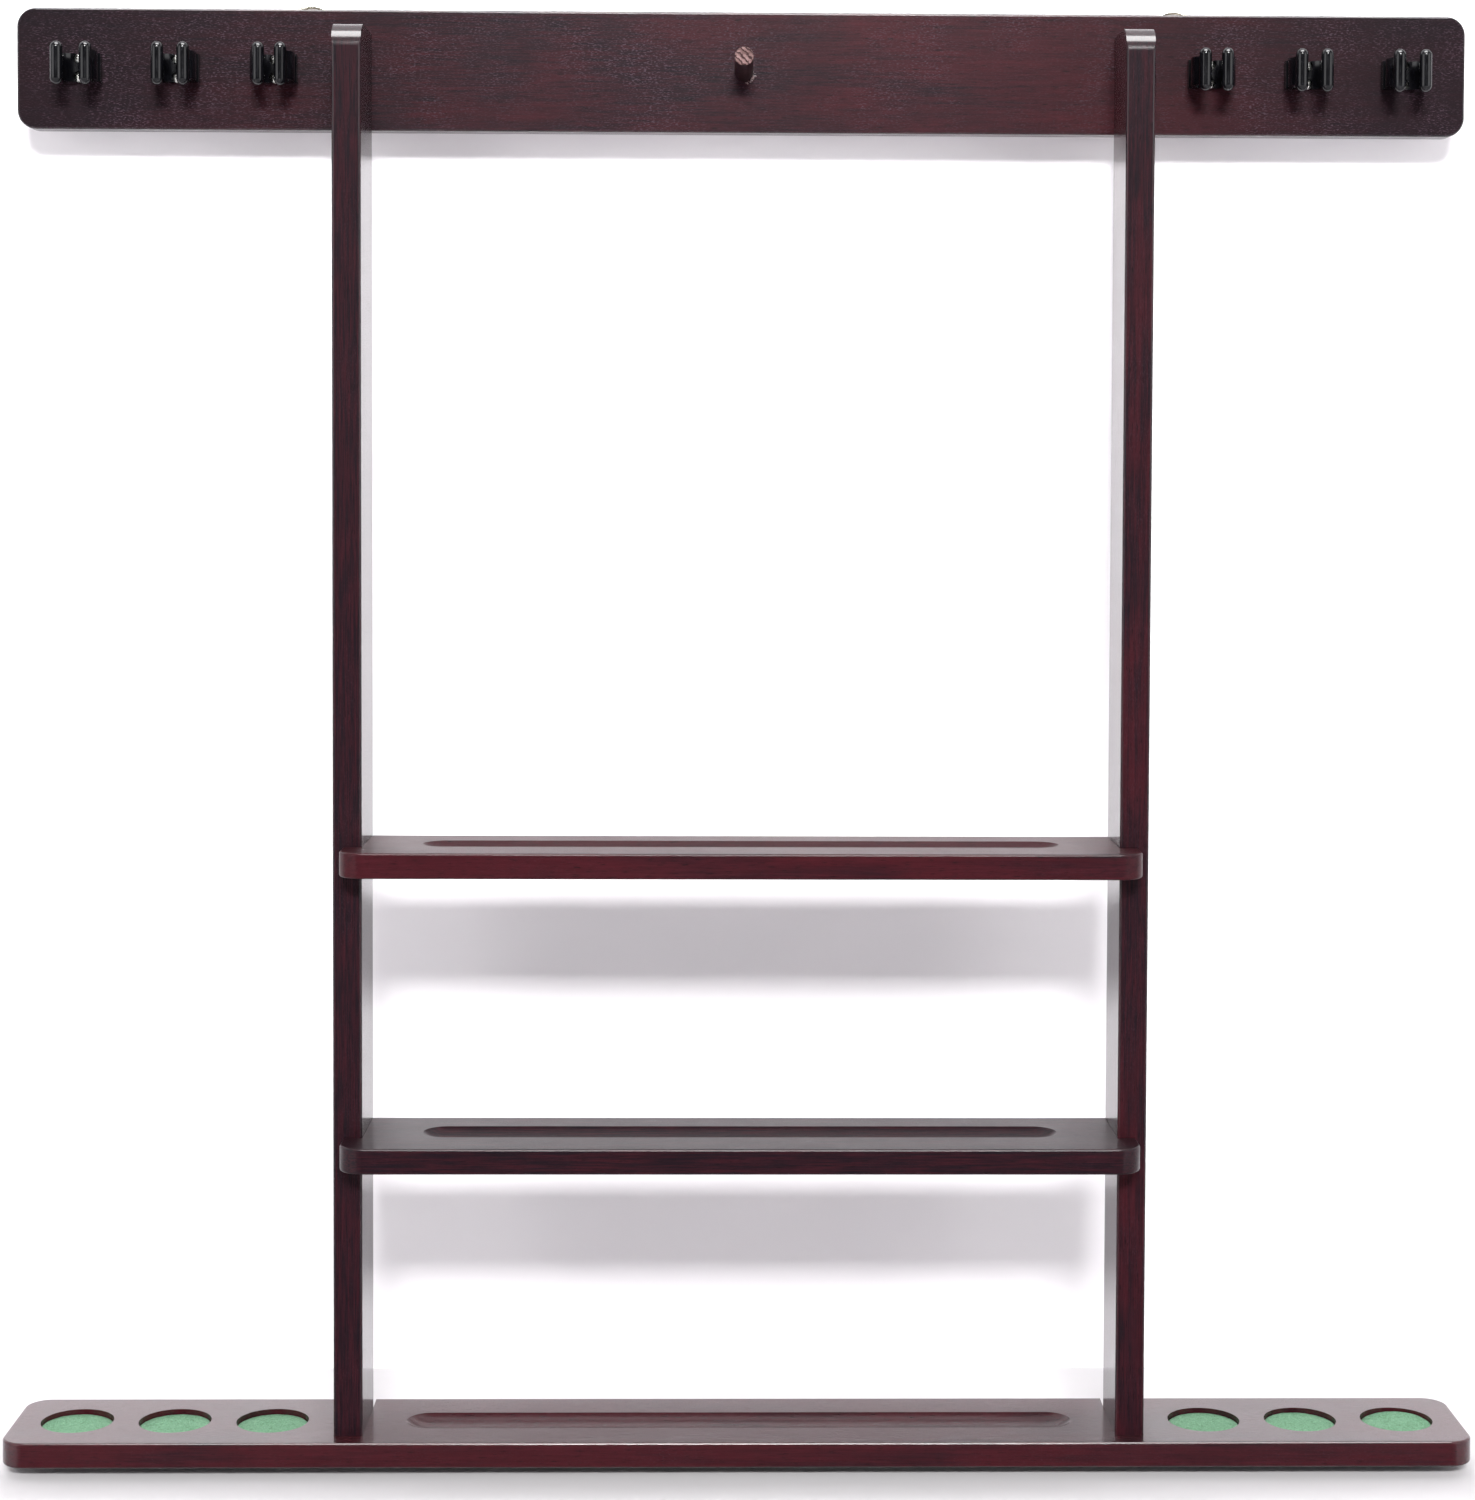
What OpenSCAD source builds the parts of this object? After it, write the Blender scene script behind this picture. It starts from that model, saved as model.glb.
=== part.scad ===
// Wall cue rack: a top rail with six rubber cue clips and a peg, two uprights,
// two grooved ball shelves, and a base shelf with six felt-lined cue seats.
// Millimetres, +Z up, +X right, the front faces -Y, the wall side of the rail and base is y = 0.
// The origin is the centre of the base shelf's back face.

/* [Whole rack] */
// Overall width of the top rail and the base shelf
rack_w = 737; // [640:1:900]
// Overall height, base shelf underside to rail top
rack_h = 730; // [600:1:900]
// Thickness of every flat board
board_t = 12.7; // [10:0.1:16]
// Front to back size of the base shelf and of both ball shelves
board_d = 69; // [66:1:84]
// Corner radius of the base shelf and the ball shelves, seen from above
corner_r = 12; // [6:0.5:16]
// Radius that eases the boards' long edges
ease_r = 1.2; // [0.6:0.1:2]

/* [Top rail] */
// Height of the rail board
rail_h = 61; // [52:1:80]
// Corner radius of the rail
rail_corner_r = 9.5; // [6:0.5:16]

/* [Uprights] */
// Side to side thickness of an upright
upright_w = 14.5; // [12:0.5:20]
// Front to back size of an upright
upright_d = 45; // [38:1:48]
// Clear width between the two uprights
upright_gap = 378; // [320:1:400]
// How far the uprights' tops stop below the rail's top
upright_drop = 12.5; // [6:0.5:18]
// Radius of the rounded top front corner of an upright
nose_r = 12; // [6:0.5:20]

/* [Ball shelves] */
// Height of the lower shelf's top above the base shelf's top
lower_shelf_z = 150.5; // [120:0.5:190]
// Height of the upper shelf's top above the base shelf's top
upper_shelf_z = 296.5; // [240:0.5:380]
// How far each front ear of a shelf covers the face of its upright
ear_w = 9.5; // [8:0.5:12]
// Width of the ball grooves at the surface
groove_w = 24; // [16:0.5:30]
// Depth of the ball grooves
groove_deep = 4.5; // [3:0.1:7]
// End to end length of a shelf's groove
shelf_groove_l = 320; // [240:1:340]
// End to end length of the base's groove
base_groove_l = 339; // [240:1:345]
// Shelf back edge to the middle of its groove
groove_back = 31; // [28:0.5:38]

/* [Cue seats and clips] */
// Middle of the rack to the innermost seat and clip on each side
cue_first_x = 237.5; // [228:0.5:260]
// Side to side distance from one cue to the next
cue_pitch = 49.5; // [40:0.5:52]
// Diameter of a cue butt seat
seat_d = 36.5; // [30:0.5:38]
// Depth of a cue butt seat
seat_deep = 4; // [3:0.1:6]
// Thickness of the felt disc in a seat
felt_t = 1.5; // [1:0.1:2.5]
// Radius inside a rubber clip, where a cue shaft sits
clip_r = 8.7; // [7:0.1:10]
// Wall thickness of a clip's arms
clip_wall = 2.5; // [2:0.1:3.5]
// Thickness of a clip's back plate
plate_t = 3.4; // [3.2:0.1:4.5]
// Height of a clip's arms
clip_h = 14; // [12:0.5:20]
// Diameter of the bead on each arm's tip
bead_d = 6.3; // [5:0.1:7]
// Height of a bead with its domed ends
bead_h = 21.6; // [18:0.2:30]
// Distance between a clip's two beads, centre to centre
bead_gap = 12.8; // [12:0.1:14]
// How far each clip's rubber has opened (+) or closed (-), left to right
clip_set = [1.6, 0, -1.7, -1.5, 0, 0.2];
// Up and down distance between a clip's two screws
clip_screw_pitch = 9.3; // [8:0.1:10]

/* [Peg] */
// Diameter of the wooden peg
peg_d = 9.5; // [6:0.5:12]
// How far the peg stands out of the rail, along its own axis
peg_out = 30; // [15:1:45]
// How deep the peg is sunk in the rail
peg_in = 8; // [5:0.5:8.5]
// How much the peg's sunk end is turned down, on the radius
root_cut = 0.35; // [0.2:0.05:0.6]
// Upward tilt of the peg, degrees
peg_tilt = 8; // [0:1:12]

/* [Wall hangers] */
// Middle of the rack to each hanger
hanger_x = 221; // [214:1:300]
// How far each ring shows above the rail
ring_show = 4.6; // [0:0.1:6]
// Radius of the ring's arch, to the middle of the wire
ring_r = 11.5; // [10:0.5:14]
// Diameter of the ring wire
wire_d = 2; // [1.6:0.1:2.4]
// Thickness of the strap's sheet metal
sheet_t = 0.8; // [0.6:0.1:1]
// Width of the strap
strap_w = 12; // [10:0.5:14]
// Length of the strap below the ring's bar
strap_l = 24; // [22:1:28]

/* [Screws] */
// Length of the long wood screws
long_screw_l = 35; // [30:1:38]
// Shank radius of the long wood screws
long_screw_r = 2; // [1.5:0.1:2.2]
// Length of the small round head screws, under the head
small_screw_l = 9; // [7:0.5:9.5]
// Shank radius of the small screws
small_screw_r = 1.25; // [1:0.05:1.5]
// Wood left in front of a shelf screw's point, in the base's front lip
tip_cover = 2.3; // [1.5:0.1:4]

/* [Fits] */
// Gap on each side of an upright in a shelf or base notch
notch_gap = 0.1; // [0.05:0.05:0.3]
// Radial gap of the peg in its glued hole
peg_gap = 0.05; // [0.02:0.01:0.1]
// Radial gap of the ring's bar in the strap's knuckle
knuckle_gap = 0.06; // [0.02:0.01:0.1]
// Radial gap round every screw
screw_gap = 0.15; // [0.1:0.05:0.3]
// Radial gap of a felt disc in its seat
felt_gap = 0.3; // [0.2:0.05:0.5]

/* [Hidden] */
$fn = 72;
eps = 0.5;

// Heights, from the base shelf's middle plane
base_top = board_t / 2;
base_low = -board_t / 2;
rail_top = base_low + rack_h;
rail_mid = rail_top - rail_h / 2;
upper_top = base_top + upper_shelf_z;
lower_top = base_top + lower_shelf_z;
upright_h = rack_h - upright_drop;

// Depths, from the wall side
rail_front = -board_t;
upright_front = rail_front - upright_d;
shelf_front = rail_front - board_d;

// Side to side places
upright_x = (upright_gap + upright_w) / 2;
cue_x = [
  -cue_first_x - 2 * cue_pitch, -cue_first_x - cue_pitch, -cue_first_x,
  cue_first_x, cue_first_x + cue_pitch, cue_first_x + 2 * cue_pitch
];
shelf_screw_x = upright_gap / 2 + ear_w - long_screw_r - 1;

// The ball groove is cut by a round cutter of this radius
cutter_r = (groove_w * groove_w / 4 + groove_deep * groove_deep) / (2 * groove_deep);

// Clip: the arms follow a circle round this middle, and the beads lie just outside its bore
clip_y = rail_front - plate_t - clip_r;
bead_r = clip_r + bead_d / 2 + 0.05;
clip_out = clip_r + clip_wall;

// Peg: its turned-down root, and how far out the full thickness starts, clear of the rail all round
root_r = peg_d / 2 - root_cut;
shoulder = (peg_d / 2 + 1) * tan(peg_tilt) + 0.5;

// Hanger: the ring's bar and what its knuckle needs
bar_r = wire_d / 2 - 0.05;
knuckle_in = bar_r + knuckle_gap;
knuckle_out = knuckle_in + sheet_t;
chord_a = 20;
bar_drop = ring_r * sin(chord_a);
bar_half = ring_r * cos(chord_a);
ring_z = rail_top + ring_show - ring_r - wire_d / 2;
bar_z = ring_z - bar_drop;
bar_y = knuckle_out + 0.3;
hanger_screw_z = bar_z - 18;

head_r = 3.9;
head_h = 2.6;
small_head_r = 2.7;
small_head_h = 1.9;
// Each clip screw's head is sunk in the back plate, this far above the rail
clip_seat = plate_t - small_head_h - 0.1;
// A shelf screw bites into the base's front lip, and its head sits this deep in the upright
lip_bite = board_d + upright_front - tip_cover;
bore_deep = upright_d + lip_bite - long_screw_l;

wood = [0.30, 0.10, 0.10];
raw_wood = [0.62, 0.40, 0.36];
black_rubber = [0.06, 0.06, 0.07];
felt_green = [0.36, 0.62, 0.45];
steel = [0.62, 0.62, 0.60];
brass = [0.62, 0.54, 0.34];

// Board section from x = 0 to w, from y = 0 to t, its corners at w eased
module edge_section(w, t) {
  square([w - ease_r, t]);
  translate([0, ease_r]) square([w, t - 2 * ease_r]);
  translate([w - ease_r, ease_r]) circle(r = ease_r);
  translate([w - ease_r, t - ease_r]) circle(r = ease_r);
}

// Flat board centred on x and y, standing on z = 0, with round corners and eased edges
module board(w, d, r) {
  for (side = [-1, 1]) {
    // Half the middle, from the centre line to one long edge
    turn = side > 0 ? 0 : 180;
    rotate([0, 0, turn])
      translate([-w / 2 + r, 0, 0])
        rotate([90, 0, 90])
          linear_extrude(height = w - 2 * r)
            edge_section(d / 2, board_t);
    // The end between two corners
    rotate([0, 0, turn])
      translate([w / 2 - r, d / 2 - r, 0])
        rotate([90, 0, 0])
          linear_extrude(height = d - 2 * r)
            edge_section(r, board_t);
    for (end = [-1, 1]) {
      translate([side * (w / 2 - r), end * (d / 2 - r), 0])
        rotate([0, 0, side > 0 ? (end > 0 ? 0 : -90) : (end > 0 ? 90 : 180)])
          rotate_extrude(angle = 90)
            edge_section(r, board_t);
    }
  }
}

// Round cutter's path: a cylinder along X with ball ends, total length at the surface l
module groove_cut(l) {
  run = l - groove_w;
  rotate([0, 90, 0])
    rotate_extrude() {
      translate([0, -run / 2]) square([cutter_r, run]);
      for (end = [-1, 1])
        intersection() {
          translate([0, end * run / 2]) circle(r = cutter_r);
          translate([0, end > 0 ? run / 2 : -run / 2 - cutter_r]) square(cutter_r);
        }
    }
}

// Countersunk wood screw, its head's face at z = 0 and its point at z = -l
module long_screw() {
  difference() {
    rotate_extrude()
      polygon([
        [0, 0], [head_r, 0], [head_r, -0.4], [long_screw_r, -head_h],
        [long_screw_r, -long_screw_l + 5], [0, -long_screw_l]
      ]);
    cross_recess(head_r * 1.1, 1.4);
  }
}

// Hole for that screw, open at z = 0
module long_screw_hole() {
  translate([0, 0, -long_screw_l - 0.3])
    cylinder(r = long_screw_r + screw_gap, h = long_screw_l + 0.3 + eps);
}

// Countersink for its head
module head_cut() {
  rotate_extrude()
    polygon([
      [0, eps], [head_r + screw_gap, eps], [head_r + screw_gap, -0.4 - screw_gap],
      [long_screw_r + screw_gap, -head_h - screw_gap], [0, -head_h - screw_gap]
    ]);
}

// Round head screw, the underside of its head at z = 0
module small_screw() {
  ball_r = (small_head_r * small_head_r + small_head_h * small_head_h) / (2 * small_head_h);
  difference() {
    union() {
      rotate_extrude()
        intersection() {
          translate([0, small_head_h - ball_r]) circle(r = ball_r);
          square([small_head_r, small_head_h]);
        }
      rotate_extrude()
        polygon([
          [0, 0.2], [small_screw_r, 0.2], [small_screw_r, -small_screw_l + 3], [0, -small_screw_l]
        ]);
    }
    translate([0, 0, small_head_h]) cross_recess(small_head_r * 1.05, 1.1);
  }
}

module small_screw_hole() {
  translate([0, 0, -small_screw_l - 0.3])
    cylinder(r = small_screw_r + screw_gap, h = small_screw_l + 0.3 + eps);
}

// Cross drive cut down from z = 0
module cross_recess(w, deep) {
  for (a = [45, 135])
    rotate([0, 0, a])
      translate([-w / 2, -w / 8, -deep])
        cube([w, w / 4, deep + eps]);
}

// Puts its children at each clip screw, +Z pointing out of the rail's front
module at_clip_screws() {
  for (x = cue_x)
    for (up = [-1, 1])
      translate([x, rail_front - clip_seat, rail_mid + up * clip_screw_pitch / 2])
        rotate([90, 0, 0])
          children();
}

// Puts its children at each rail screw, +Z pointing out of the rail's back
module at_rail_screws() {
  for (side = [-1, 1])
    for (up = [-1, 1])
      translate([side * upright_x, 0, rail_mid - 6 + up * rail_h / 5])
        rotate([-90, 0, 0])
          children();
}

// Puts its children at each shelf and base screw, +Z pointing back to the wall
module at_shelf_screws() {
  for (side = [-1, 1])
    for (z = [0, lower_top - board_t / 2, upper_top - board_t / 2])
      translate([side * shelf_screw_x, rail_front - bore_deep, z])
        rotate([-90, 0, 0])
          children();
}

// Puts its children at each hanger screw, +Z pointing back to the wall
module at_hanger_screws() {
  for (side = [-1, 1])
    translate([side * hanger_x, 2 * sheet_t, hanger_screw_z])
      rotate([-90, 0, 0])
        children();
}

// The peg's own axis, from the rail's front outwards
module at_peg() {
  translate([0, rail_front, rail_mid])
    rotate([90 - peg_tilt, 0, 0])
      children();
}

module top_rail() {
  color(wood)
    difference() {
      translate([0, 0, rail_mid]) rotate([90, 0, 0]) board(rack_w, rail_h, rail_corner_r);
      at_peg() translate([0, 0, -peg_in - 0.3]) cylinder(r = root_r + peg_gap, h = peg_in + 6);
      at_clip_screws() small_screw_hole();
      at_rail_screws() long_screw_hole();
      at_rail_screws() head_cut();
      at_hanger_screws() small_screw_hole();
    }
}

// Upright at x = 0, between its side faces
module upright(side) {
  color(wood)
    difference() {
      translate([side * upright_x, 0, base_low])
        intersection() {
          translate([-upright_w / 2, 0, 0])
            rotate([90, 0, 90])
              linear_extrude(height = upright_w) {
                translate([upright_front, 0]) square([upright_d, upright_h - nose_r]);
                translate([upright_front + nose_r, 0]) square([upright_d - nose_r, upright_h]);
                translate([upright_front + nose_r, upright_h - nose_r]) circle(r = nose_r);
              }
          translate([0, rail_front, 0])
            linear_extrude(height = upright_h)
              for (half = [0, 1])
                mirror([half, 0])
                  rotate(-90)
                    half_section();
        }
      at_rail_screws() long_screw_hole();
      at_shelf_screws() long_screw_hole();
      at_shelf_screws() cylinder(r = head_r + 2 * screw_gap, h = bore_deep + eps);
      at_shelf_screws() head_cut();
    }
}

// Half an upright's plan, its front corner eased
module half_section() {
  half_w = upright_w / 2;
  square([upright_d - ease_r, half_w]);
  square([upright_d, half_w - ease_r]);
  translate([upright_d - ease_r, half_w - ease_r]) circle(r = ease_r);
}

// Ball shelf with its top at the given height
module ball_shelf(top) {
  long_d = board_d + 2 * corner_r;
  color(wood)
    difference() {
      translate([0, shelf_front + long_d / 2, top - board_t])
        board(upright_gap + 2 * ear_w, long_d, corner_r);
      // Square back edge, flush with the uprights' backs
      translate([-upright_gap, rail_front, top - board_t - eps])
        cube([2 * upright_gap, 3 * corner_r, board_t + 2 * eps]);
      // Room for the uprights behind the ears
      for (side = [0, 1])
        mirror([side, 0, 0])
          translate([upright_gap / 2 - notch_gap, upright_front - notch_gap, top - board_t - eps])
            cube([upright_w + ear_w, upright_d + 3 * corner_r, board_t + 2 * eps]);
      translate([0, rail_front - groove_back, top + cutter_r - groove_deep])
        groove_cut(shelf_groove_l);
      at_shelf_screws() long_screw_hole();
    }
}

module base_shelf() {
  color(wood)
    difference() {
      translate([0, -board_d / 2, base_low]) board(rack_w, board_d, corner_r);
      // Through notches for the uprights, open at the back edge
      for (side = [-1, 1])
        translate([
          side * upright_x - upright_w / 2 - notch_gap, upright_front - notch_gap, base_low - eps
        ])
          cube([upright_w + 2 * notch_gap, upright_d + board_t + 2 * eps, board_t + 2 * eps]);
      translate([0, -board_d / 2, base_top + cutter_r - groove_deep])
        groove_cut(base_groove_l);
      for (x = cue_x)
        translate([x, -board_d / 2, base_top - seat_deep])
          cylinder(d = seat_d, h = seat_deep + eps);
      at_shelf_screws() long_screw_hole();
    }
}

module hanging_peg() {
  ease = 0.6;
  color(raw_wood)
    at_peg()
      rotate_extrude()
        polygon([
          [0, -peg_in], [root_r - ease, -peg_in], [root_r, -peg_in + ease],
          [root_r, shoulder - root_cut], [peg_d / 2, shoulder],
          [peg_d / 2, peg_out - ease / 2], [peg_d / 2 - ease / 2, peg_out], [0, peg_out]
        ]);
}

// Rubber clip: a C of rubber on a back plate, with a domed bead on each tip
module cue_clip(n) {
  gap = bead_gap + clip_set[n - 1];
  bead_x = gap / 2;
  bead_y = clip_y - sqrt(bead_r * bead_r - bead_x * bead_x);
  color(black_rubber)
    translate([cue_x[n - 1], 0, rail_mid])
      difference() {
        union() {
          translate([0, 0, -clip_h / 2])
            linear_extrude(height = clip_h) {
              difference() {
                translate([0, clip_y]) circle(r = clip_out);
                translate([0, clip_y]) circle(r = clip_r);
                polygon([
                  [0, clip_y], [-bead_x * 2, 2 * bead_y - clip_y], [bead_x * 2, 2 * bead_y - clip_y]
                ]);
              }
              // Back plate, hollowed to the same bore
              difference() {
                translate([-clip_out, rail_front - plate_t - 2])
                  square([2 * clip_out, plate_t + 2]);
                translate([0, clip_y]) circle(r = clip_r);
              }
            }
          for (side = [-1, 1])
            translate([side * bead_x, bead_y, 0]) bead();
        }
        translate([-cue_x[n - 1], 0, -rail_mid]) {
          at_clip_screws() small_screw_hole();
          at_clip_screws() cylinder(r = small_head_r + screw_gap, h = plate_t);
        }
      }
}

// Upright bead with domed ends
module bead() {
  r = bead_d / 2;
  run = bead_h - bead_d;
  rotate_extrude() {
    translate([0, -run / 2]) square([r, run]);
    for (end = [-1, 1])
      intersection() {
        translate([0, end * run / 2]) circle(r = r);
        translate([0, end > 0 ? run / 2 : -run / 2 - r]) square(r);
      }
  }
}

module felt_disc(n) {
  color(felt_green)
    translate([cue_x[n - 1], -board_d / 2, base_top - seat_deep])
      cylinder(r = seat_d / 2 - felt_gap, h = felt_t);
}

module clip_screws() {
  color(steel) at_clip_screws() small_screw();
}

module rail_screws() {
  color(steel) at_rail_screws() long_screw();
}

module shelf_screws() {
  color(steel) at_shelf_screws() long_screw();
}

module hanger_screws() {
  color(brass) at_hanger_screws() small_screw();
}

// Strap folded round the ring's bar and screwed to the rail's back
module hanger_strap(side) {
  color(brass)
    difference() {
      translate([side * hanger_x - strap_w / 2, 0, bar_z])
        rotate([90, 0, 90])
          linear_extrude(height = strap_w)
            difference() {
              union() {
                translate([0, -strap_l]) square([2 * sheet_t, strap_l - knuckle_out]);
                translate([0, -knuckle_out - eps]) square([sheet_t, knuckle_out + eps]);
                translate([bar_y, 0]) circle(r = knuckle_out);
              }
              translate([bar_y, 0]) circle(r = knuckle_in);
            }
      at_hanger_screws() small_screw_hole();
    }
}

// Ring of bent wire: an arch with a straight bar across its foot
module hanger_ring(side) {
  color(brass)
    translate([side * hanger_x, bar_y, ring_z])
      rotate([90, 0, 0])
        union() {
          rotate([0, 0, -chord_a])
            rotate_extrude(angle = 180 + 2 * chord_a)
              translate([ring_r, 0]) circle(d = wire_d);
          translate([-bar_half, -bar_drop, 0])
            rotate([0, 90, 0])
              cylinder(r = bar_r, h = 2 * bar_half);
          for (end = [-1, 1])
            translate([end * bar_half, -bar_drop, 0])
              sphere(r = wire_d / 2 + 0.15);
        }
}

top_rail();
upright(-1);  // left_upright
upright(1);  // right_upright
ball_shelf(upper_top);  // upper_ball_shelf
ball_shelf(lower_top);  // lower_ball_shelf
base_shelf();
hanging_peg();
cue_clip(1);  // cue_clip_1
cue_clip(2);  // cue_clip_2
cue_clip(3);  // cue_clip_3
cue_clip(4);  // cue_clip_4
cue_clip(5);  // cue_clip_5
cue_clip(6);  // cue_clip_6
felt_disc(1);  // felt_disc_1
felt_disc(2);  // felt_disc_2
felt_disc(3);  // felt_disc_3
felt_disc(4);  // felt_disc_4
felt_disc(5);  // felt_disc_5
felt_disc(6);  // felt_disc_6
clip_screws();
rail_screws();
shelf_screws();
hanger_strap(-1);  // left_hanger_strap
hanger_strap(1);  // right_hanger_strap
hanger_ring(-1);  // left_hanger_ring
hanger_ring(1);  // right_hanger_ring
hanger_screws();
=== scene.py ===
"""Looks of the wall cue rack.

Mahogany-stained boards under lacquer, rubber cue clips, felt-lined seats, a sawn peg, plated hangers,
and the stage they are shown on.
"""

import math
import random

import bmesh
import bpy
from mathutils import Matrix, Vector, noise


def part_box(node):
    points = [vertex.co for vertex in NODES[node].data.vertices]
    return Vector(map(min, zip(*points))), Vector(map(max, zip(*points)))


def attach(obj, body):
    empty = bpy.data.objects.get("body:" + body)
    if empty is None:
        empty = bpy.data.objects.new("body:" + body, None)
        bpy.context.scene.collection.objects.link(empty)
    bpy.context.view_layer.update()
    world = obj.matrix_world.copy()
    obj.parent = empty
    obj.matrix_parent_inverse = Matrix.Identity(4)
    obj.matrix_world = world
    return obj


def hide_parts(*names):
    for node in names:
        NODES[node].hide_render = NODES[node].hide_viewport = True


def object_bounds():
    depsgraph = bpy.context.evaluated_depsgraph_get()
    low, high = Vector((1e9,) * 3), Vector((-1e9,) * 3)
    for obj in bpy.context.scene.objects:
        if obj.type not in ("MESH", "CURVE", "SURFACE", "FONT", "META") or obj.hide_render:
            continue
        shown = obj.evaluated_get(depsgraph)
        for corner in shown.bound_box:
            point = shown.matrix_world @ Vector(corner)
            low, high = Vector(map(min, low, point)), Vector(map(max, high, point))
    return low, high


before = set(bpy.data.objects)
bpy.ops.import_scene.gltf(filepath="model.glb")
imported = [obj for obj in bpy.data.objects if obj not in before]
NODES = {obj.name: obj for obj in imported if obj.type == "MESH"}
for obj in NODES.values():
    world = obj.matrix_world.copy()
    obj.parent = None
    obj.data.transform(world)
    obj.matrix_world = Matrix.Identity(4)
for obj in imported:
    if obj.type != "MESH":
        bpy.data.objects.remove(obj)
CAD_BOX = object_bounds()
RACK = "rack"
MM = 0.001
CUES = range(1, 7)
PEG_TILT = 8  # degrees

# ---------------------------------------------------------------- camera
# Where it stands in metres, how it is turned in radians, and its lens in millimetres
EYE = (-0.009685, -1.478709, 0.491529)
YAW, PITCH, ROLL = 0.015796, -0.037877, 0.003965
LENS = 68.7145
SHIFT = (-0.0205, -0.115)


def make_camera():
    """The photograph's viewing angle: square on, a little above the middle, looking slightly down."""
    forward = Vector((
        math.sin(YAW) * math.cos(PITCH), math.cos(YAW) * math.cos(PITCH), math.sin(PITCH)
    ))
    level = Vector((math.cos(YAW), -math.sin(YAW), 0))
    over = level.cross(forward)
    right = level * math.cos(ROLL) + over * math.sin(ROLL)
    up = right.cross(forward)
    data = bpy.data.cameras.new("camera")
    data.sensor_width = 36
    data.lens = LENS
    data.shift_x, data.shift_y = SHIFT
    camera = bpy.data.objects.new("camera", data)
    bpy.context.scene.collection.objects.link(camera)
    camera.matrix_world = Matrix.Translation(EYE) @ Matrix((right, up, -forward)).transposed().to_4x4()
    bpy.context.scene.camera = camera


# ---------------------------------------------------------------- materials
# Stain where it lies thick, stain where the red ground shows, and the pale colour of painted glints on the
# grain
STAIN_DARK = (0.0060, 0.0030, 0.0052)
STAIN_RED = (0.0300, 0.0034, 0.0058)
PAINTED_GLINT = (0.058, 0.034, 0.048)
DUST = (0.22, 0.20, 0.21)
# Marks of the wood in metres: (length along the grain, width across it)
CLOUD = (0.16, 0.045)
STREAK = (0.075, 0.0026)
FIBRE = (0.022, 0.00075)
PORE = (0.0060, 0.00042)
DASH = (0.0015, 0.00045)
# Cosine from straight ahead: up to the first a face keeps its full lacquer, from the second it is rubbed back
RUBBED = (0.965, 0.997)


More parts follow.
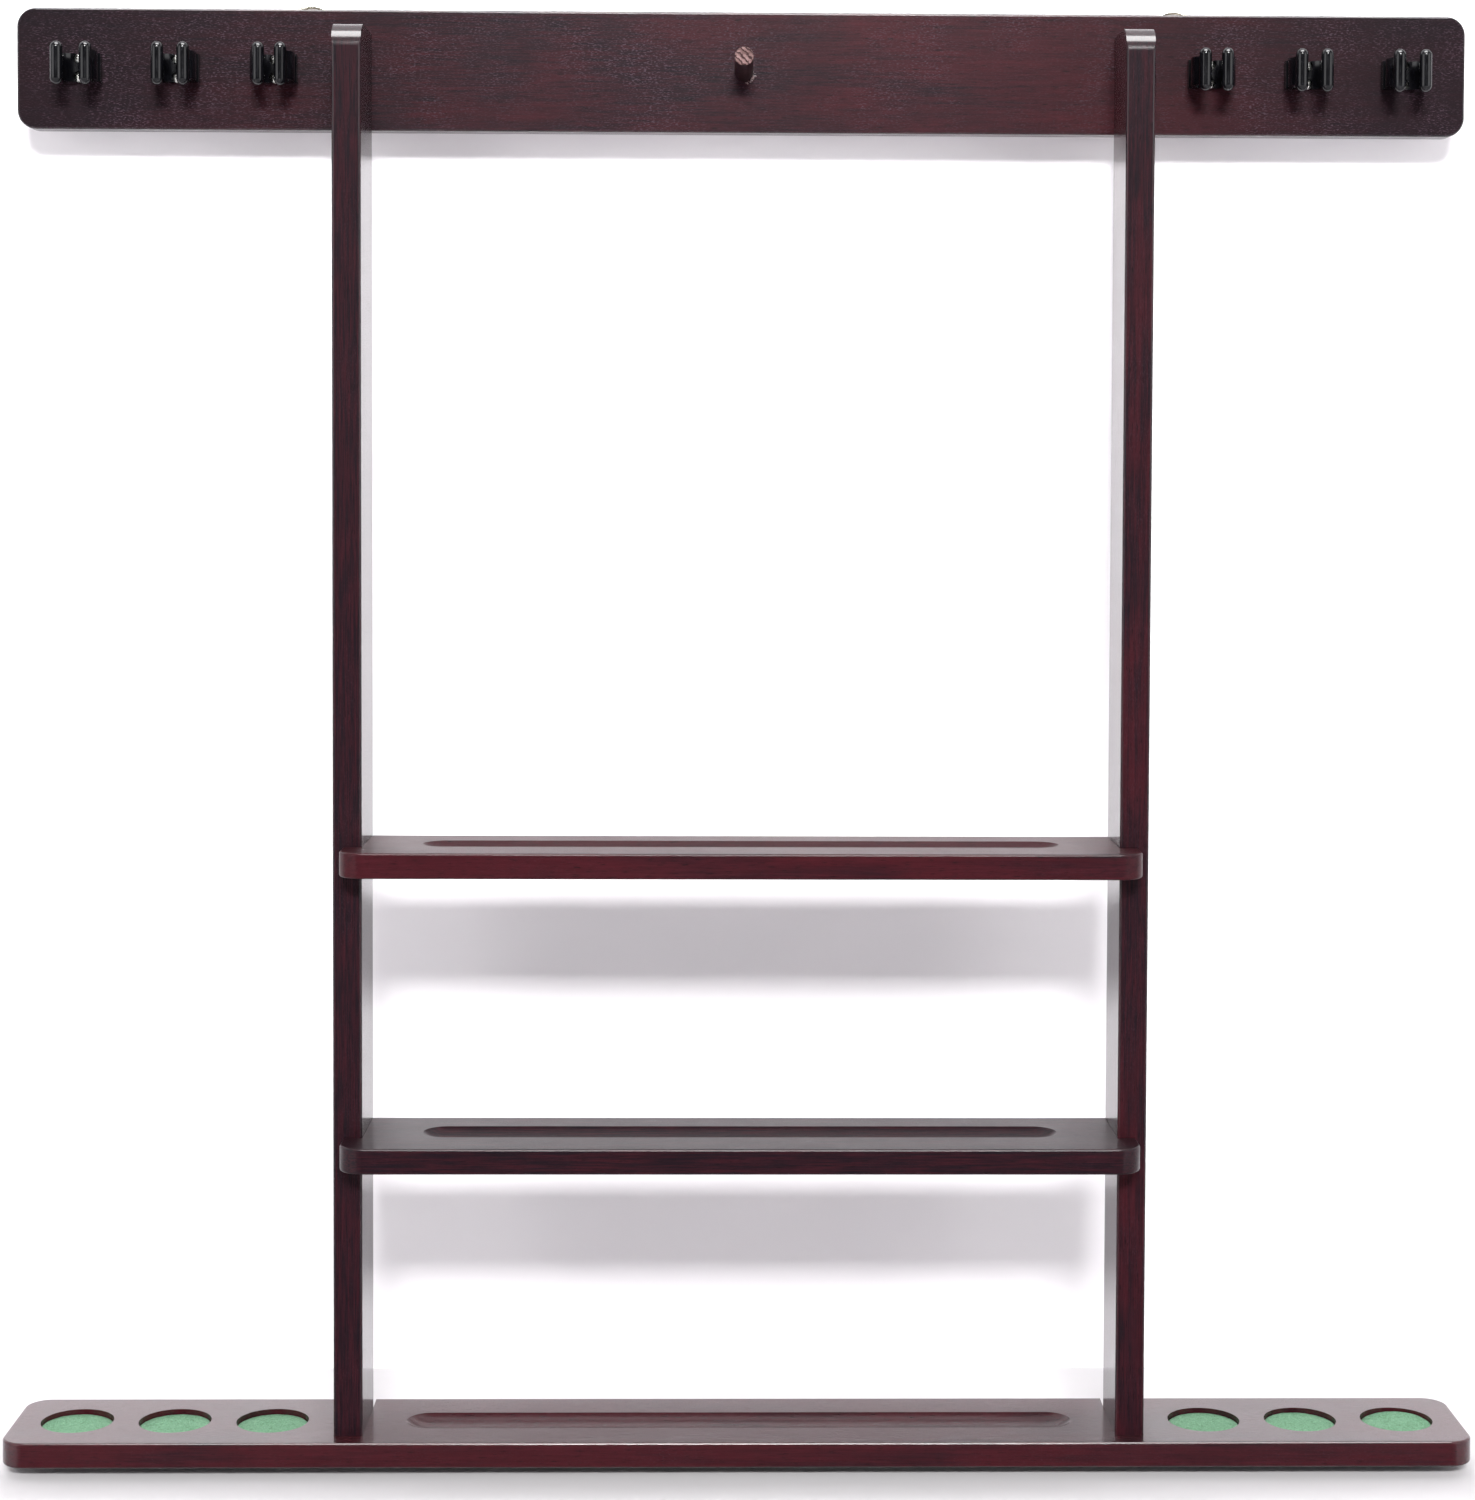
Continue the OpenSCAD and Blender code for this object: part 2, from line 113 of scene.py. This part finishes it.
class Shader:
    """A node material being built."""

    def __init__(self, name):
        self.mat = bpy.data.materials.new(name)
        self.mat.use_nodes = True
        self.tree = self.mat.node_tree
        self.tree.nodes.clear()
        self.out = self.tree.nodes.new("ShaderNodeOutputMaterial")
        self.bsdf = self.tree.nodes.new("ShaderNodeBsdfPrincipled")
        self.link(self.bsdf.outputs[0], self.out.inputs[0])
        self.place = self.tree.nodes.new("ShaderNodeTexCoord").outputs["Object"]

    def link(self, a, b):
        self.tree.links.new(a, b)

    def plug(self, socket, value):
        if isinstance(value, bpy.types.NodeSocket):
            self.link(value, socket)
        else:
            socket.default_value = value

    def set(self, **values):
        """Principled sockets by name, with _ for a space."""
        for key, value in values.items():
            self.plug(self.bsdf.inputs[key.replace("_", " ")], value)

    def scaled(self, scale, offset=(0, 0, 0), turn=(0, 0, 0)):
        n = self.tree.nodes.new("ShaderNodeMapping")
        self.link(self.place, n.inputs["Vector"])
        n.inputs["Location"].default_value = offset
        n.inputs["Rotation"].default_value = turn
        n.inputs["Scale"].default_value = scale
        return n.outputs[0]

    def noise(self, vector, detail, rough=0.5, distortion=0.0):
        n = self.tree.nodes.new("ShaderNodeTexNoise")
        self.link(vector, n.inputs["Vector"])
        n.inputs["Scale"].default_value = 1
        n.inputs["Detail"].default_value = detail
        n.inputs["Roughness"].default_value = rough
        n.inputs["Distortion"].default_value = distortion
        return n.outputs[0]

    def cells(self, vector, scale):
        """Distance to the nearest scattered point, and that point's own random colour."""
        n = self.tree.nodes.new("ShaderNodeTexVoronoi")
        self.link(vector, n.inputs["Vector"])
        n.inputs["Scale"].default_value = scale
        return n.outputs["Distance"], n.outputs["Color"]

    def ramp(self, fac, *stops):
        n = self.tree.nodes.new("ShaderNodeValToRGB")
        self.link(fac, n.inputs[0])
        while len(n.color_ramp.elements) < len(stops):
            n.color_ramp.elements.new(0.5)
        for element, (at, colour) in zip(n.color_ramp.elements, stops):
            element.position = at
            element.color = (*colour, 1)
        return n.outputs[0]

    def band(self, fac, low, high, a=0.0, b=1.0):
        """fac from low to high becomes a to b, clamped."""
        n = self.tree.nodes.new("ShaderNodeMapRange")
        self.link(fac, n.inputs["Value"])
        for key, value in (("From Min", low), ("From Max", high), ("To Min", a), ("To Max", b)):
            n.inputs[key].default_value = value
        return n.outputs[0]

    def maths(self, operation, a, b=0.0):
        n = self.tree.nodes.new("ShaderNodeMath")
        n.operation = operation
        self.plug(n.inputs[0], a)
        self.plug(n.inputs[1], b)
        return n.outputs[0]

    def mix(self, fac, a, b):
        n = self.tree.nodes.new("ShaderNodeMix")
        n.data_type = "RGBA"
        self.plug(n.inputs["Factor"], fac)
        self.plug(n.inputs[6], (*a, 1) if isinstance(a, tuple) else a)
        self.plug(n.inputs[7], (*b, 1) if isinstance(b, tuple) else b)
        return n.outputs[2]

    def dot(self, vector, direction):
        n = self.tree.nodes.new("ShaderNodeVectorMath")
        n.operation = "DOT_PRODUCT"
        self.link(vector, n.inputs[0])
        n.inputs[1].default_value = direction
        return n.outputs["Value"]

    def axis(self, direction):
        """Distance of each point along direction, in metres."""
        return self.dot(self.place, direction)

    def facing(self, direction):
        """1 where the surface faces along direction, 0 where it is square to it."""
        return self.dot(self.tree.nodes.new("ShaderNodeNewGeometry").outputs["Normal"], direction)

    def bump(self, height, distance, strength, socket="Normal"):
        n = self.tree.nodes.new("ShaderNodeBump")
        n.inputs["Strength"].default_value = strength
        n.inputs["Distance"].default_value = distance
        self.link(height, n.inputs["Height"])
        self.link(n.outputs[0], self.bsdf.inputs[socket])

    def dust(self, colour, amount, scale, size):
        """Sparse pale specks over a colour: scale cells to a metre, amount the share of them with a speck."""
        far, own = self.cells(self.place, scale)
        dot = self.band(far, size * 0.6, size, 1, 0)
        seen = self.maths("GREATER_THAN", own, 1 - amount)
        return self.mix(self.maths("MULTIPLY", dot, seen), colour, DUST)


def lacquered_wood(name, along, seed, redness, gloss, front, glint_paint, painted_end_shade=None):
    """Stained hardwood under gloss lacquer, its grain along X or Z.

    redness is how much of the red ground shows through the dark stain. gloss is how thick the lacquer is, and
    front how thick it is on the faces that look forward, which are rubbed back. The sixth argument is how
    strongly short pale dashes are painted on along the grain as glints: painted highlights. The last, if
    given,
    is (from, to, share): painted shade that darkens the colour by that share between two distances from the
    board's middle.
    """
    s = Shader(name)
    off = (seed * 3.1, seed * 7.7, seed * 1.9)

    def grain(mark):
        length, width = mark
        across = 1 / width
        return s.scaled((1 / length, across, across) if along == "X" else (across, across, 1 / length), off)

    broad = s.noise(grain(CLOUD), 3, 0.55, 0.5)
    streaks = s.noise(grain(STREAK), 5, 0.62, 0.3)
    fine = s.noise(grain(FIBRE), 4, 0.65)
    pores = s.noise(grain(PORE), 2, 0.5)
    tone = s.maths("ADD", s.maths("MULTIPLY", broad, 0.66), s.maths("MULTIPLY", streaks, 0.34))
    middle = 0.5 + (0.5 - redness) * 0.16
    colour = s.ramp(tone, (middle - 0.09, STAIN_DARK), (middle + 0.10, STAIN_RED))
    colour = s.mix(s.band(fine, 0.40, 0.68, 0, 0.45), colour, tuple(1.7 * c + 0.001 for c in STAIN_RED))
    pore = s.band(pores, 0.30, 0.40, 0.8, 0)
    colour = s.mix(pore, colour, tuple(0.25 * c for c in STAIN_DARK))
    # Painted shade: the colour darkens towards the board's ends, standing in for light falling off there
    if painted_end_shade:
        start, stop, share = painted_end_shade
        far = s.maths("ABSOLUTE", s.axis((1, 0, 0)))
        colour = s.mix(s.band(far, start, stop, 0, share), colour, tuple(0.75 * c for c in STAIN_DARK))
    # Painted glints: short pale dashes in patches along the grain, painted highlights standing in for light
    # caught by it
    dashes = s.noise(grain(DASH), 2, 0.5)
    patches = s.noise(s.scaled((26, 26, 26), off), 4, 0.6)
    patchy = s.band(patches, 0.40, 0.66, 0.16 * glint_paint, 0.85 * glint_paint)
    colour = s.mix(s.maths("MULTIPLY", s.band(dashes, 0.54, 0.66), patchy), colour, PAINTED_GLINT)
    colour = s.dust(colour, 0.05, 75, 0.045)
    smear = s.noise(s.scaled((11, 11, 11), off), 4, 0.6)
    s.set(
        Base_Color=colour,
        Roughness=s.band(smear, 0.3, 0.75, 0.40, 0.52),
        Specular_IOR_Level=0.05,
        Coat_Weight=s.band(s.facing((0, -1, 0)), *RUBBED, gloss, front),
        Coat_Roughness=0.16,
        Coat_IOR=1.45,
    )
    height = s.maths("ADD", s.maths("MULTIPLY", pore, -0.5), s.maths("MULTIPLY", fine, 0.55))
    s.bump(s.maths("ADD", height, s.maths("MULTIPLY", dashes, 0.5)), 0.07 * MM, 0.9)
    # The lacquer's own skin follows the wood only faintly and ripples a little
    ripple = s.noise(s.scaled((230, 230, 230), off), 2, 0.5)
    skin = s.maths("ADD", s.maths("MULTIPLY", fine, 0.5), s.maths("MULTIPLY", ripple, 0.4))
    s.bump(skin, 0.03 * MM, 0.7, "Coat Normal")
    return s.mat


def peg_wood(root, direction, out):
    """Stained dowel whose sawn end is bare and scored."""
    s = Shader("peg_dowel")
    sawn = 0.4 * MM
    depth = s.maths("SUBTRACT", s.axis(direction), root.dot(direction) + out - sawn)
    end = s.band(depth, -0.3 * MM, 0.2 * MM)
    grain = s.noise(s.scaled((1800, 120, 1800)), 4, 0.6)
    side = s.ramp(grain, (0.3, (0.005, 0.0025, 0.003)), (0.7, (0.022, 0.008, 0.009)))
    # Slanting saw marks, one every 2.3 mm, bent by the uneven cut: both numbers are in radians
    per_metre, bend = 2700, 11
    wobble = s.noise(s.scaled((420, 420, 420), (3, 1, 2)), 4, 0.65)
    straight = s.maths("MULTIPLY", s.axis((0.70, 0, 0.71)), per_metre)
    saw = s.maths("SINE", s.maths("ADD", straight, s.maths("MULTIPLY", wobble, bend)))
    bare = s.ramp(wobble, (0.35, (0.090, 0.046, 0.044)), (0.62, (0.240, 0.150, 0.146)))
    bare = s.mix(s.band(saw, 0.05, 0.6), bare, (0.030, 0.013, 0.013))
    s.set(
        Base_Color=s.mix(end, side, bare),
        Roughness=s.band(end, 0, 1, 0.38, 0.85),
        Specular_IOR_Level=0.12,
        Coat_Weight=s.band(end, 0, 1, 0.12, 0),
        Coat_Roughness=0.2,
    )
    scored = s.maths("MULTIPLY", s.maths("MULTIPLY", saw, -0.3), end)
    s.bump(s.maths("ADD", scored, s.maths("MULTIPLY", grain, 0.3)), 0.2 * MM, 0.8)
    return s.mat


def clip_rubber():
    """Black moulded rubber with a soft sheen, rubbed grey and a little dusty."""
    s = Shader("black_rubber")
    cloud = s.noise(s.scaled((160, 160, 90), (1, 2, 3)), 5, 0.65)
    fine = s.noise(s.scaled((1500, 1500, 700)), 3, 0.6)
    black, worn, rubbed = (0.0014, 0.0014, 0.0020), (0.0034, 0.0034, 0.0046), (0.013, 0.013, 0.016)
    colour = s.ramp(cloud, (0.35, black), (0.62, worn), (0.80, rubbed))
    colour = s.mix(s.band(fine, 0.60, 0.72, 0, 0.35), colour, (0.022, 0.022, 0.025))
    s.set(
        Base_Color=colour,
        Roughness=s.band(cloud, 0.3, 0.75, 0.10, 0.21),
        Specular_IOR_Level=0.3,
    )
    s.bump(s.maths("ADD", s.maths("MULTIPLY", fine, 0.3), cloud), 0.02 * MM, 0.6)
    return s.mat


def felt():
    """Green wool felt: matted fibres, a little uneven in colour and nap."""
    s = Shader("green_felt")
    blot = s.noise(s.scaled((130, 130, 130), (5, 1, 2)), 4, 0.6)
    fibre = s.noise(s.scaled((1700, 800, 1400), (0, 0, 0), (0, 0, 0.7)), 4, 0.7, 1.2)
    cross = s.noise(s.scaled((800, 1700, 1400), (7, 3, 0), (0, 0, -0.3)), 4, 0.7, 1.2)
    nap = s.maths("ADD", s.maths("MULTIPLY", fibre, 0.5), s.maths("MULTIPLY", cross, 0.5))
    deep, green, tip = (0.034, 0.100, 0.047), (0.084, 0.218, 0.114), (0.175, 0.370, 0.220)
    colour = s.ramp(nap, (0.41, deep), (0.51, green), (0.61, tip))
    colour = s.mix(s.band(blot, 0.35, 0.7, 0, 0.35), colour, (0.150, 0.285, 0.185))
    s.set(Base_Color=colour, Roughness=0.95, Specular_IOR_Level=0.1, Sheen_Weight=0.06, Sheen_Roughness=0.6)
    s.bump(nap, 0.6 * MM, 0.9)
    return s.mat


def metal(name, bright, dull, rough):
    """Plated metal, brushed by handling and spotted with age."""
    s = Shader(name)
    scuff = s.noise(s.scaled((900, 900, 200)), 4, 0.6)
    spots = s.noise(s.scaled((420, 420, 420), (2, 2, 2)), 5, 0.7)
    colour = s.mix(s.band(spots, 0.52, 0.70), bright, dull)
    s.set(Base_Color=colour, Metallic=1.0, Roughness=s.band(scuff, 0.3, 0.7, rough, rough + 0.18))
    s.bump(scuff, 0.03 * MM, 0.6)
    return s.mat


def glue():
    """Dried glue and chipped lacquer."""
    s = Shader("dried_glue")
    blot = s.noise(s.scaled((900, 900, 900)), 4, 0.6)
    s.set(
        Base_Color=s.ramp(blot, (0.35, (0.05, 0.02, 0.02)), (0.65, (0.20, 0.13, 0.13))),
        Roughness=s.band(blot, 0.3, 0.7, 0.35, 0.7),
        Subsurface_Weight=0.1,
    )
    s.bump(blot, 0.2 * MM, 0.6)
    return s.mat


def paint(node, material):
    """Gives a CAD node its material."""
    data = NODES[node].data
    data.materials.clear()
    data.materials.append(material)


def paint_nodes():
    # The rail gets painted shade towards both ends: darker from 0.16 to 0.33 m out from its middle, by a
    # share of 0.85
    paint("top_rail", lacquered_wood("wood_top_rail", "X", 1.3, 0.45, 0.8, 0.27, 0.9, (0.16, 0.33, 0.85)))
    # Grain's direction, seed, redness, gloss, gloss in front, strength of the painted glints
    boards = {
        "left_upright": ("Z", 2.1, -0.85, 0.75, 0.03, 0.2),
        "right_upright": ("Z", 3.7, 0.05, 0.75, 0.03, 0.2),
        "upper_ball_shelf": ("X", 4.2, 1.15, 0.24, 0.02, 0.12),
        "lower_ball_shelf": ("X", 5.9, -0.50, 0.33, 0.01, 0.1),
        "base_shelf": ("X", 6.4, 1.10, 0.97, 0.15, 0.20),
    }
    for node, look in boards.items():
        paint(node, lacquered_wood("wood_" + node, *look))
    root, tip, direction = peg_line()
    paint("hanging_peg", peg_wood(root, direction, (tip - root).length))
    rubber = clip_rubber()
    for n in CUES:
        paint(f"cue_clip_{n}", rubber)
    steel = metal("screw_steel", (0.60, 0.60, 0.58), (0.30, 0.29, 0.27), 0.16)
    brass = metal("hanger_brass", (0.72, 0.69, 0.60), (0.36, 0.33, 0.25), 0.2)
    for node in ("clip_screws", "rail_screws", "shelf_screws"):
        paint(node, steel)
    for node in (
        "left_hanger_strap", "right_hanger_strap", "left_hanger_ring", "right_hanger_ring", "hanger_screws"
    ):
        paint(node, brass)


# ---------------------------------------------------------------- pieces
def peg_line():
    """(middle of the peg's root on the rail's face, middle of its tip, its direction)."""
    low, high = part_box("hanging_peg")
    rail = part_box("top_rail")
    face = rail[0].y
    middle = (rail[0].z + rail[1].z) / 2
    tilt = math.radians(PEG_TILT)
    direction = Vector((0, -math.cos(tilt), math.sin(tilt)))
    root = Vector(((low.x + high.x) / 2, face, middle))
    reach = (face - low.y - (high.x - low.x) / 2 * math.sin(tilt)) / math.cos(tilt)
    return root, root + direction * reach, direction


def new_mesh(name, bm, material):
    mesh = bpy.data.meshes.new(name)
    bm.normal_update()
    bm.to_mesh(mesh)
    bm.free()
    for face in mesh.polygons:
        face.use_smooth = True
    mesh.materials.append(material)
    piece = bpy.data.objects.new(name, mesh)
    bpy.context.scene.collection.objects.link(piece)
    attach(piece, RACK)
    return piece


# How far each disc stands up at one side, where it has come unstuck: (millimetres, direction in degrees)
FELT_LIFT = {1: (0.3, 150), 2: (0.2, 40), 3: (0.3, 250), 4: (0.2, 80), 5: (0.4, 120), 6: (1.1, 65)}


def felt_disc(n, material):
    """Cut felt: a thin disc with a soft uneven top and a slightly ragged rim."""
    low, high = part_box(f"felt_disc_{n}")
    middle = (low + high) / 2
    radius = (high.x - low.x) / 2
    thick = high.z - low.z
    lift, way = FELT_LIFT[n]
    heading = Vector((math.cos(math.radians(way)), math.sin(math.radians(way)), 0))
    rings, around = 26, 120
    bm = bmesh.new()

    def level(x, y, soft):
        p = Vector((x, y, n * 3.0))
        bumps = noise.noise(p * 260) * 0.10 + noise.noise(p * 900) * 0.07
        side = max(0.0, (x * heading.x + y * heading.y) / radius)
        return thick + MM * (bumps * soft + lift * side ** 2) - soft * 0.1 * MM

    def ring(r, z_of):
        made = []
        for k in range(around):
            a = 2 * math.pi * k / around
            frayed = noise.noise(Vector((math.cos(a) * 6, math.sin(a) * 6, n)))
            ragged = 1 + 0.006 * frayed * (r / radius) ** 8
            x, y = r * ragged * math.cos(a), r * ragged * math.sin(a)
            made.append(bm.verts.new((middle.x + x, middle.y + y, low.z + z_of(x, y))))
        return made

    top = range(rings + 1)
    loops = [ring(radius * (0.02 + 0.95 * k / rings), lambda x, y: level(x, y, 1)) for k in top]
    loops.append(ring(radius * 0.992, lambda x, y: level(x, y, 1) - 0.25 * MM))
    loops.append(ring(radius * 0.995, lambda x, y: 0.55 * level(x, y, 0)))
    loops.append(ring(radius * 0.985, lambda x, y: 0.04 * MM))
    loops.append(ring(radius * 0.4, lambda x, y: 0.04 * MM))
    for a, b in zip(loops, loops[1:]):
        for k in range(around):
            j = (k + 1) % around
            bm.faces.new((a[k], b[k], b[j], a[j]))
    bm.faces.new(loops[0])
    bm.faces.new(list(reversed(loops[-1])))
    piece = new_mesh(f"felt_{n}", bm, material)
    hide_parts(f"felt_disc_{n}")


def glue_crumbs(material):
    """Squeezed-out glue and chips of lacquer round the peg's foot, mostly below it to the right."""
    root, _, _ = peg_line()
    low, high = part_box("hanging_peg")
    radius = (high.x - low.x) / 2
    chance = random.Random(11)
    bm = bmesh.new()
    for k in range(20):
        angle = math.radians(chance.gauss(-42, 24))
        away = radius + MM * chance.uniform(0.0, 1.3)
        size = MM * chance.uniform(0.2, 0.5)
        at = root + Vector((away * math.cos(angle), -size * 0.25, away * math.sin(angle)))
        shape = bmesh.ops.create_icosphere(bm, subdivisions=2, radius=size)
        for v in shape["verts"]:
            dent = 1 + 0.45 * noise.noise(v.co * 1800 + Vector((k, 0, 0)))
            v.co = at + Vector((v.co.x * dent * 1.5, v.co.y * dent * 0.5, v.co.z * dent))
    new_mesh("glue_crumbs", bm, material)


# ---------------------------------------------------------------- stage
def plane(name, corners, material):
    mesh = bpy.data.meshes.new(name)
    mesh.from_pydata(corners, [], [(0, 1, 2, 3)])
    mesh.materials.append(material)
    piece = bpy.data.objects.new(name, mesh)
    bpy.context.scene.collection.objects.link(piece)
    return piece


def studio_white(name, shade, one_sided):
    """Matt white. A one-sided sheet is clear from behind, so it doesn't hide the rack's back."""
    s = Shader(name)
    tint = s.noise(s.scaled((3, 3, 3)), 2)
    low, high = (tuple(k * c for c in shade) for k in (0.98, 1.0))
    s.set(Base_Color=s.ramp(tint, (0.3, low), (0.7, high)), Roughness=0.9, Specular_IOR_Level=0.05)
    if one_sided:
        clear = s.tree.nodes.new("ShaderNodeBsdfTransparent")
        side = s.tree.nodes.new("ShaderNodeNewGeometry")
        choose = s.tree.nodes.new("ShaderNodeMixShader")
        s.link(side.outputs["Backfacing"], choose.inputs[0])
        s.link(s.bsdf.outputs[0], choose.inputs[1])
        s.link(clear.outputs[0], choose.inputs[2])
        s.link(choose.outputs[0], s.out.inputs[0])
    return s.mat


def area_light(name, at, towards, size, power):
    data = bpy.data.lights.new(name, "AREA")
    data.shape = "RECTANGLE"
    data.size, data.size_y = size
    data.energy = power
    light = bpy.data.objects.new(name, data)
    bpy.context.scene.collection.objects.link(light)
    light.visible_camera = False
    light.location = at
    light.rotation_euler = (Vector(towards) - Vector(at)).to_track_quat("-Z", "Y").to_euler()
    return light


def make_world():
    """A flagged studio: a pale band round the horizon, dark overhead and straight in front of the rack."""
    world = bpy.data.worlds.new("studio")
    world.use_nodes = True
    tree = world.node_tree
    tree.nodes.clear()
    place = tree.nodes.new("ShaderNodeTexCoord")
    split = tree.nodes.new("ShaderNodeSeparateXYZ")
    tree.links.new(place.outputs["Generated"], split.inputs[0])

    def band(source, low, high):
        n = tree.nodes.new("ShaderNodeMapRange")
        n.interpolation_type = "SMOOTHSTEP"
        tree.links.new(source, n.inputs["Value"])
        n.inputs["From Min"].default_value = low
        n.inputs["From Max"].default_value = high
        n.inputs["To Min"].default_value = 1
        n.inputs["To Max"].default_value = 0
        return n.outputs[0]

    def maths(operation, a, b):
        n = tree.nodes.new("ShaderNodeMath")
        n.operation = operation
        for socket, value in zip(n.inputs, (a, b)):
            if isinstance(value, bpy.types.NodeSocket):
                tree.links.new(value, socket)
            else:
                socket.default_value = value
        return n.outputs[0]

    forward = maths("MULTIPLY", split.outputs["Y"], -1)
    height = maths("ABSOLUTE", split.outputs["Z"], 0)
    pale = maths("MULTIPLY", band(height, 0.10, 0.50), band(forward, 0.78, 0.93))
    sky = tree.nodes.new("ShaderNodeBackground")
    sky.inputs["Color"].default_value = (0.95, 0.96, 1.0, 1)
    tree.links.new(maths("ADD", maths("MULTIPLY", pale, 0.62), 0.06), sky.inputs["Strength"])
    out = tree.nodes.new("ShaderNodeOutputWorld")
    tree.links.new(sky.outputs[0], out.inputs[0])
    bpy.context.scene.world = world


def make_stage():
    """A white wall that the rack's top leans on, a pale floor just under its base, and the lights."""
    low, high = CAD_BOX
    touch = high.y + 0.6 * MM
    floor_z = low.z - 5.6 * MM
    lean = 0.14
    wide, tall, far = 4.0, 3.0, 14.0
    white, pale = (0.88, 0.857, 0.882), (0.56, 0.55, 0.56)
    foot_y = touch + lean * (high.z - floor_z)
    top_y = touch - lean * (tall - high.z)
    wall = plane(
        "wall",
        [(-wide, foot_y, floor_z), (wide, foot_y, floor_z), (wide, top_y, tall), (-wide, top_y, tall)],
        studio_white("wall_white", white, True),
    )
    wall.visible_shadow = False
    plane(
        "floor",
        [(-far, -far, floor_z), (far, -far, floor_z), (far, far, floor_z), (-far, far, floor_z)],
        studio_white("floor_pale", pale, False),
    )
    centre = (low + high) / 2
    # The key from the front and above, a high light that gives gloss only, and fills at the sides and behind
    area_light("key_light", (0.1, -3.6, 2.2), centre, (1.2, 0.45), 230)
    high = area_light("high_light", (0.1, -0.95, 3.4), centre, (2.4, 2.2), 400)
    high.visible_diffuse = False
    area_light("left_light", (-2.6, -2.0, 1.2), centre, (2.0, 2.4), 34)
    area_light("right_light", (2.6, -2.0, 1.2), centre, (2.0, 2.4), 34)
    area_light("back_light", (-0.3, 2.6, 1.7), centre, (2.2, 1.0), 100)
    make_world()
    bpy.context.scene.view_settings.view_transform = "Standard"


make_camera()
paint_nodes()
green = felt()
for number in CUES:
    felt_disc(number, green)
glue_crumbs(glue())
make_stage()
